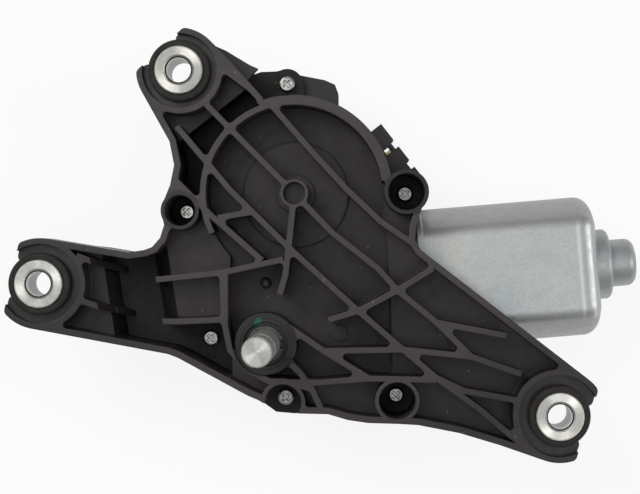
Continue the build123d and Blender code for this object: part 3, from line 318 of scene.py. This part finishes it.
def ribbedPlastic(name):
    material, tree, shader = newMaterial(name, {"Specular IOR Level": bracket["specular"]})
    noise, soft = addSurface(tree, moulded)
    depth = levelShare(tree, bracket["levels"])
    outward = addVector(tree, "DISTANCE", objectPlace(tree), inMetres(bracket["middle"]))["Value"]
    armSpan = inMetres(bracket["armSpan"])
    onCase = addRange(tree, outward, (1.0, 0.0), armSpan)
    tops = addMath(tree, "MULTIPLY", levelShare(tree, bracket["rubbedLevels"]), onCase)
    patches = addRange(tree, noise["Broad"], bracket["cloud"], bracket["cloudSpan"])
    # painted shade: darker with depth into the pockets
    tone = mixColour(tree, addMath(tree, "MULTIPLY", depth, patches), paintedShadeBlack, bracket["shallow"])
    # painted shade over the low right pockets
    tone = paintedLightSpot(tree, tone, lowRightPaintedShade)
    tone = mixColour(tree, tops, tone, bracket["rubbed"])
    # painted shade on the arms, darker away from the middle
    tone = mixColour(tree, addRange(tree, outward, (0.0, bracket["armPaintedShade"]), armSpan), tone, paintedShadeBlack)
    # painted shadow: dark lines at the two steps of the plate, round the worm wheel's axis
    hubX, hubY = axisOf("wheel_axle")
    fromHub = useGroup(tree, rings, X=hubX, Y=hubY)["Radius"]
    onPlate = addRange(tree, levelShare(tree, bracket["stepShadowLevels"]), (1.0, 0.0))
    for radius in bracket["stepShadowRadii"]:
        off = addMath(tree, "ABSOLUTE", addMath(tree, "SUBTRACT", fromHub, radius * mm))
        line = addRange(tree, off, (1.0, 0.0), inMetres(bracket["stepShadowHalf"]))
        tone = mixColour(tree, addMath(tree, "MULTIPLY", line, onPlate), tone, paintedShadeBlack)
    # painted shade over the shaft boss and the screw wells, and a painted highlight on the dome
    for spot in paintedShadeAndHighlightSpots.values():
        tone = paintedLightSpot(tree, tone, spot)
    # wear and marks lie over all of it
    worn = addRange(tree, soft["Edge"], (0.0, moulded["edgeShare"]))
    tone = mixColour(tree, worn, tone, bracket["edge"])
    marked = addRange(tree, useGroup(tree, flecks)["Mask"], (0.0, bracket["fleckShare"]))
    tone = mixColour(tree, marked, tone, bracket["fleck"])
    tone = mixColour(tree, useGroup(tree, paintDab)["Mask"], tone, paint["colour"])
    sheen = addRange(tree, depth, bracket["rough"])
    mottle = addRange(tree, noise["Middle"], bracket["mottle"], noiseSpan)
    connect(tree, shader, {
        "Base Color": tone,
        "Roughness": addMath(tree, "ADD", sheen, mottle),
        "Normal": mouldedNormal(tree, noise, soft),
    })
    return material


dress(ribbedPlastic("bracketPlastic"), ("front_bracket",))

# Plain mouldings: the case, the worm wheel and the plate that carries the brushes
plasticPieces = {
    "casePlastic": {
        "on": ("gear_housing", "connector_housing"), "dark": (0.011, 0.0105, 0.0115),
        "light": (0.018, 0.017, 0.018), "edge": (0.035, 0.034, 0.034), "rough": (0.42, 0.55),
    },
    "wheelAcetal": {
        "on": ("worm_wheel",), "dark": (0.66, 0.63, 0.55),
        "light": (0.78, 0.76, 0.69), "edge": (0.82, 0.8, 0.74), "rough": (0.38, 0.5),
    },
    "brushPlatePhenolic": {
        "on": ("brush_plate",), "dark": (0.05, 0.03, 0.02),
        "light": (0.09, 0.06, 0.04), "edge": (0.12, 0.08, 0.06), "rough": (0.5, 0.65),
    },
}


def plastic(name, look):
    material, tree, shader = newMaterial(name, {"Specular IOR Level": moulded["specular"]})
    noise, soft = addSurface(tree, moulded)
    tone = addRamp(tree, noise["Broad"], noiseSpan, look["dark"], look["light"])
    worn = addRange(tree, soft["Edge"], (0.0, moulded["edgeShare"]))
    connect(tree, shader, {
        "Base Color": mixColour(tree, worn, tone, look["edge"]),
        "Roughness": addRange(tree, noise["Middle"], look["rough"], noiseSpan),
        "Normal": mouldedNormal(tree, noise, soft),
    })
    return material


for name, look in plasticPieces.items():
    dress(plastic(name, look), look["on"])

# Rubber, and the other dull black pieces that look like it
rubberLook = {
    "grain": (120.0, 900.0, 5200.0), "edgeRadius": 0.35, "toneSpan": (0.35, 0.7), "rough": (0.6, 0.82),
    "bump": (0.25, 0.06), "specular": 0.3, "painted": False,
}
rubberPieces = {
    "grommetRubber": {
        "on": ("grommet_top", "grommet_left", "grommet_right"),
        "dark": (0.014, 0.0125, 0.0105), "light": (0.026, 0.023, 0.019),
    },
    "gasketRubber": {"on": ("cover_gasket",), "dark": (0.008, 0.008, 0.008), "light": (0.014, 0.014, 0.014)},
    "sealRubber": {
        "on": ("shaft_seal",), "dark": (0.009, 0.009, 0.01), "light": (0.016, 0.015, 0.016),
        "edgeRadius": 0.3, "rough": (0.42, 0.6), "bump": (0.2, 0.05), "specular": 0.4, "painted": True,
    },
    "magnetFerrite": {"on": ("magnets",), "dark": (0.018, 0.018, 0.019), "light": (0.035, 0.035, 0.037)},
    "brushCarbon": {"on": ("brushes",), "dark": (0.012, 0.012, 0.013), "light": (0.026, 0.026, 0.027)},
}


def rubber(name, look):
    material, tree, shader = newMaterial(name, {"Specular IOR Level": look["specular"]})
    noise, soft = addSurface(tree, look)
    tone = addRamp(tree, noise["Middle"], look["toneSpan"], look["dark"], look["light"])
    if look["painted"]:
        tone = mixColour(tree, useGroup(tree, paintDab)["Mask"], tone, paint["colour"])
    connect(tree, shader, {
        "Base Color": tone,
        "Roughness": addRange(tree, noise["Broad"], look["rough"], noiseSpan),
        "Normal": addBump(tree, noise["Fine"], look["bump"], soft["Normal"]),
    })
    return material


for name, look in rubberPieces.items():
    dress(rubber(name, {**rubberLook, **look}), look["on"])

# Turned metal: fine rings of tool marks round the piece's own axis, sleeves with painted shade in the bore
turnedLook = {
    "grain": (150.0, 700.0, 4000.0), "edgeRadius": 0.25, "toneSpan": (0.3, 0.75), "rough": (0.42, 0.54),
    "pitch": 0.35, "markShare": 0.35, "markSpan": (0.3, 0.6), "markDark": 0.6, "markBump": (0.5, 0.02),
    "fineBump": (0.1, 0.02), "anisotropic": 0.95, "metallic": 1.0, "bore": None,
}
# the bore's tone is painted shade down the bore; the chamfer is a bump
sleeveBore = {"tone": (0.2, 0.19, 0.2), "levels": (-6.0, -0.6), "chamfer": (4.2, 5.2), "bump": (1.0, 0.7)}
turnedPieces = {
    "shaftSteel": {
        "on": ("output_shaft",), "dark": (0.52, 0.525, 0.5), "light": (0.68, 0.685, 0.65), "metallic": 0.6,
    },
    # one metal in all three sleeves: their tones differ as painted light, the right one lightest, the top one
    # darkest
    "sleeve_topMetal": {
        "on": ("sleeve_top",), "dark": (0.54, 0.535, 0.495), "light": (0.74, 0.73, 0.68), "bore": sleeveBore,
    },
    "sleeve_leftMetal": {
        "on": ("sleeve_left",), "dark": (0.62, 0.615, 0.57), "light": (0.82, 0.81, 0.76), "bore": sleeveBore,
    },
    "sleeve_rightMetal": {
        "on": ("sleeve_right",), "dark": (0.76, 0.75, 0.7), "light": (0.93, 0.92, 0.86), "bore": sleeveBore,
    },
}


def turnedMetal(name, look, axis):
    uniform = {"Metallic": look["metallic"], "Anisotropic": look["anisotropic"]}
    material, tree, shader = newMaterial(name, uniform)
    noise, soft = addSurface(tree, look)
    marks = useGroup(tree, rings, X=axis[0], Y=axis[1], Pitch=look["pitch"] * mm)
    tone = addRamp(tree, noise["Middle"], look["toneSpan"], look["dark"], look["light"])
    scored = addRange(tree, marks["Mark"], (look["markShare"], 0.0), look["markSpan"])
    tone = mixColour(tree, scored, tone, [value * look["markDark"] for value in look["dark"]])
    face = soft["Normal"]
    bore = look["bore"]
    if bore:
        # painted shade down the bore
        tone = mixColour(tree, levelShare(tree, bore["levels"]), bore["tone"], tone)
        slope = addRange(tree, marks["Radius"], (0.0, 1.0), inMetres(bore["chamfer"]))
        face = addBump(tree, slope, bore["bump"], face)
    cut = addBump(tree, marks["Mark"], look["markBump"], face)
    connect(tree, shader, {
        "Base Color": tone,
        "Roughness": addRange(tree, marks["Mark"], look["rough"], noiseSpan),
        "Normal": addBump(tree, noise["Fine"], look["fineBump"], cut),
        "Tangent": addNode(tree, "ShaderNodeTangent", direction_type="RADIAL", axis="Z").outputs["Tangent"],
    })
    return material


for name, look in turnedPieces.items():
    dress(turnedMetal(name, {**turnedLook, **look}, axisOf(look["on"][0])), look["on"])

# Plain metal: screws, bushes, gears, pins, contacts and windings
metalLook = {"grain": (180.0, 1100.0, 4500.0), "edgeRadius": 0.3, "bump": (0.15, 0.04), "metallic": 1.0}
metalPieces = {
    "screwZinc": {
        "on": ("cover_screws",), "dark": (0.2, 0.2, 0.19), "light": (0.4, 0.4, 0.385), "rough": (0.2, 0.36),
    },
    "sinteredBronze": {
        "on": ("output_bush", "lower_output_bush", "can_bearing", "worm_bearing", "end_bearing"),
        "dark": (0.36, 0.24, 0.13), "light": (0.55, 0.38, 0.22), "rough": (0.4, 0.6),
    },
    "innerSteel": {
        "on": ("wheel_axle", "armature_shaft", "crank_pin", "link_pin", "guide_plate", "toothed_link",
               "output_pinion", "brush_springs", "thrust_plug"),
        "dark": (0.42, 0.42, 0.43), "light": (0.62, 0.62, 0.63), "rough": (0.25, 0.42),
    },
    "blackenedSteel": {
        "on": ("retaining_ring",),
        "dark": (0.05, 0.048, 0.047), "light": (0.1, 0.096, 0.093), "rough": (0.35, 0.5),
    },
    "contactBrass": {
        "on": ("contact_disc", "park_fingers", "terminals"),
        "dark": (0.62, 0.45, 0.18), "light": (0.8, 0.62, 0.3), "rough": (0.22, 0.38),
    },
    "windingCopper": {
        "on": ("armature_windings", "commutator"), "bump": (0.4, 0.04),
        "dark": (0.42, 0.16, 0.07), "light": (0.66, 0.3, 0.15), "rough": (0.3, 0.45),
    },
    "coreLaminations": {
        "on": ("armature_core",),
        "dark": (0.13, 0.13, 0.14), "light": (0.24, 0.24, 0.25), "rough": (0.4, 0.6),
    },
}


def plainMetal(name, look):
    material, tree, shader = newMaterial(name, {"Metallic": look["metallic"]})
    noise, soft = addSurface(tree, look)
    connect(tree, shader, {
        "Base Color": addRamp(tree, noise["Middle"], noiseSpan, look["dark"], look["light"]),
        "Roughness": addRange(tree, noise["Broad"], look["rough"], noiseSpan),
        "Normal": addBump(tree, noise["Fine"], look["bump"], soft["Normal"]),
    })
    return material


for name, look in metalPieces.items():
    dress(plainMetal(name, {**metalLook, **look}), look["on"])

# Galvanised can: speckled zinc, cool and warm by turns, with painted shade on the sides, a darker nose,
# and bands of painted highlight and painted shade near the closed end
can = {
    "grain": (55.0, 420.0, 2300.0), "edgeRadius": 0.8, "metallic": 0.85, "rough": (0.4, 0.56), "tilt": 4.8,
    "cool": (0.44, 0.475, 0.48), "warm": (0.5, 0.51, 0.49), "toneSpan": (0.36, 0.62),
    # side is the painted shade on the rounded sides
    "side": (0.4, 0.395, 0.4), "flatHalf": 15.2, "sideFade": 2.5,
    "speck": (0.31, 0.33, 0.33), "speckShare": 0.5, "speckSpan": (0.36, 0.5),
    "flakes": 1900.0, "flakeShare": 0.4, "speckBump": (0.25, 0.05), "dents": (0.2, 0.5),
    "nose": (0.27, 0.285, 0.3), "noseSpan": (16.0, 12.0), "noseShare": 0.4,  # span from the nose's end
    # the pale band tone is a painted highlight
    "highlightBand": (0.74, 0.77, 0.76),
    "paintedBands": (  # distance from the nose's end, half width, strength of the pale tone as painted highlight or the speck tone as painted shade
        (22.0, 1.0, 0.6, "highlightBand"),
        (20.2, 1.2, 0.45, "speck"),
        (17.9, 0.9, 0.8, "highlightBand"),
    ),
}


def galvanised(name):
    material, tree, shader = newMaterial(name, {"Metallic": can["metallic"]})
    noise, soft = addSurface(tree, can)
    # places along and across the can, which lies tilted in the frame
    low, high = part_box("motor_can")
    middle = (np.array(low) + np.array(high)) / 2
    tilt = math.radians(can["tilt"])
    axisPlace = middle[1] * math.cos(tilt) - middle[0] * math.sin(tilt)
    endPlace = high[0] * math.cos(tilt) + middle[1] * math.sin(tilt)
    here = objectPlace(tree)
    turned = addNode(tree, "ShaderNodeMapping", {"Vector": here, "Rotation": (0.0, 0.0, -tilt)})
    axes = addNode(tree, "ShaderNodeSeparateXYZ", {"Vector": turned.outputs["Vector"]})
    along = axes.outputs["X"]
    across = addMath(tree, "ABSOLUTE", addMath(tree, "SUBTRACT", axes.outputs["Y"], axisPlace))
    sides = addRange(tree, across, (0.0, 1.0), inMetres((can["flatHalf"], can["flatHalf"] + can["sideFade"])))
    onFlat = addRange(tree, sides, (1.0, 0.0))
    tone = addRamp(tree, noise["Broad"], can["toneSpan"], can["cool"], can["warm"])
    # painted shade on the sides
    tone = mixColour(tree, sides, tone, can["side"])
    flakes = addNode(tree, "ShaderNodeTexVoronoi", {"Vector": here, "Scale": can["flakes"]})
    speck = addNode(tree, "ShaderNodeMix", {
        "Factor": can["flakeShare"], "A": noise["Fine"], "B": flakes.outputs["Distance"],
    }).outputs["Result"]
    specked = addRange(tree, speck, (can["speckShare"], 0.0), can["speckSpan"])
    tone = mixColour(tree, specked, tone, can["speck"])
    # bands of painted highlight and painted shade across the flat
    for fromEnd, halfWidth, strength, bandTone in can["paintedBands"]:
        off = addMath(tree, "ABSOLUTE", addMath(tree, "SUBTRACT", along, endPlace - fromEnd * mm))
        lit = addRange(tree, off, (strength, 0.0), (0.0, halfWidth * mm))
        tone = mixColour(tree, addMath(tree, "MULTIPLY", lit, onFlat), tone, can[bandTone])
    noseSpan = [endPlace - fromEnd * mm for fromEnd in can["noseSpan"]]
    tone = mixColour(tree, addRange(tree, along, (0.0, can["noseShare"]), noseSpan), tone, can["nose"])
    dented = addBump(tree, noise["Broad"], can["dents"], soft["Normal"])
    connect(tree, shader, {
        "Base Color": tone,
        "Roughness": addRange(tree, noise["Middle"], can["rough"], noiseSpan),
        "Normal": addBump(tree, speck, can["speckBump"], dented),
    })
    return material


dress(galvanised("canZinc"), ("motor_can",))
print("stage: materials on", len(dressed), "of", len(nodes), "nodes")

# Floor: pale to the light, plain white to the camera and in reflections, clear from below
ground = {"gap": 0.2, "half": 3000.0, "tone": (0.9, 0.9, 0.9, 1.0), "rough": 0.9, "whiteShare": 0.86}
level = cadBox[0][2] - ground["gap"] * mm  # the gap keeps it off the faces that rest on it
half = ground["half"] * mm
floorMesh = bpy.data.meshes.new("floor")
floorMesh.from_pydata(
    [(-half, -half, level), (half, -half, level), (half, half, level), (-half, half, level)],
    [], [(0, 1, 2, 3)],
)
floor = bpy.data.objects.new("floor", floorMesh)
scene.collection.objects.link(floor)
floorMaterial, floorTree, floorShader = newMaterial(
    "floorWhite", {"Base Color": ground["tone"], "Roughness": ground["rough"]}
)
white = addNode(floorTree, "ShaderNodeEmission", {"Color": (1.0, 1.0, 1.0, 1.0), "Strength": 1.0})
ray = addNode(floorTree, "ShaderNodeLightPath").outputs
looked = addMath(floorTree, "MAXIMUM", ray["Is Camera Ray"], ray["Is Glossy Ray"])
seen = addNode(floorTree, "ShaderNodeMixShader", {
    0: addMath(floorTree, "MULTIPLY", looked, ground["whiteShare"]),
    1: floorShader.outputs["BSDF"],
    2: white.outputs["Emission"],
})
below = addNode(floorTree, "ShaderNodeMixShader", {
    0: addNode(floorTree, "ShaderNodeNewGeometry").outputs["Backfacing"],
    1: seen.outputs["Shader"],
    2: addNode(floorTree, "ShaderNodeBsdfTransparent").outputs["BSDF"],
})
floorTree.links.new(below.outputs["Shader"], floorTree.nodes["Material Output"].inputs["Surface"])
floorMesh.materials.append(floorMaterial)

# World: even white light from all round
worldStrength = 0.4
world = bpy.data.worlds.new("studio")
scene.world = world
world.use_nodes = True
background = world.node_tree.nodes["Background"].inputs
background["Color"].default_value = (1.0, 1.0, 1.0, 1.0)
background["Strength"].default_value = worldStrength

# Soft boxes: place, aim point and size in metres, power in watts
softBoxes = {
    "keyBox": {"at": (-0.55, 0.55, 0.85), "aim": (0.02, 0.03, 0.0), "size": (0.5, 0.4), "power": 4.5},
    "rightBox": {"at": (0.95, 0.05, 0.6), "aim": (0.08, 0.03, 0.0), "size": (0.5, 0.5), "power": 3.0},
    "topBox": {"at": (-0.2, 0.2, 1.1), "aim": (-0.2, 0.2, 0.0), "size": (0.44, 0.5), "power": 1.6},
    "lowBox": {"at": (0.34, -0.22, 1.1), "aim": (0.34, -0.22, 0.0), "size": (0.3, 0.34), "power": 0.9},
}
for name, box in softBoxes.items():
    light = bpy.data.lights.new(name, "AREA")
    light.shape = "RECTANGLE"
    light.size, light.size_y = box["size"]
    light.energy = box["power"]
    lamp = bpy.data.objects.new(name, light)
    lamp.location = box["at"]
    way = np.array(box["aim"]) - np.array(box["at"])
    sideways = math.hypot(way[0], way[1])
    lamp.rotation_euler = (math.atan2(sideways, -way[2]), 0.0, math.atan2(-way[0], way[1]))
    scene.collection.objects.link(lamp)
print("stage: floor and lights")
